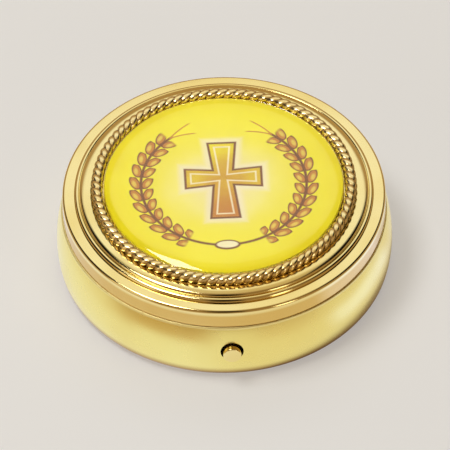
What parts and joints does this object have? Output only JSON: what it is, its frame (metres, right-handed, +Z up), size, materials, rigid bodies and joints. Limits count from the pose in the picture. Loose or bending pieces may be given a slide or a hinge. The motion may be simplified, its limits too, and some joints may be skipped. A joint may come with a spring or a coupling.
{
  "type": "pyx",
  "caption": "Round gilt pyx with a hinged lid: stepped rings, a rope border and a domed picture on the lid, a lined cup inside, and a push button that frees the lid.",
  "frame": {"origin": "middle of the flat underside", "axes": "+Z up through the lid, -Y towards the push button, +Y towards the hinge"},
  "size_m": [0.054, 0.0559, 0.0175],
  "materials": {
    "gilt_satin": "satin gold plating",
    "gilt_bright": "polished gold plating",
    "bare_brass": "plain brass",
    "spring_brass": "rolled spring strip",
    "printed_disc": "printed, matte",
    "clear_resin": "clear, glossy"
  },
  "bodies": {
    "base": {"base_shell": "gilt_satin", "base_liner": "gilt_bright", "hinge_base_leaf": "gilt_bright", "hinge_pin": "bare_brass", "latch_spring": "spring_brass"},
    "latch": {"push_button": "gilt_bright", "latch_catch": "bare_brass", "stem_washer": "bare_brass"},
    "lid": {"lid_shell": "gilt_bright", "lid_liner": "gilt_bright", "rope_strand_a": "gilt_bright", "rope_strand_b": "gilt_bright", "picture_tray": "gilt_bright", "picture_disc": "printed_disc", "clear_dome": "clear_resin", "lid_tongue": "gilt_bright", "hinge_lid_leaf": "gilt_bright"}
  },
  "joints": [
    {"name": "lid_hinge", "type": "hinge", "parent": "base", "child": "lid", "pos_m": [0, 0.02685, 0.0111], "axis": [-1, 0, 0], "range_deg": [0, 105]},
    {"name": "button_press", "type": "slide", "parent": "base", "child": "latch", "axis": [0, 1, 0], "range_m": [0, 0.0008], "stiffness_N_per_m": 500, "springref_m": -0.0015, "deforming": ["latch_spring"]}
  ]
}
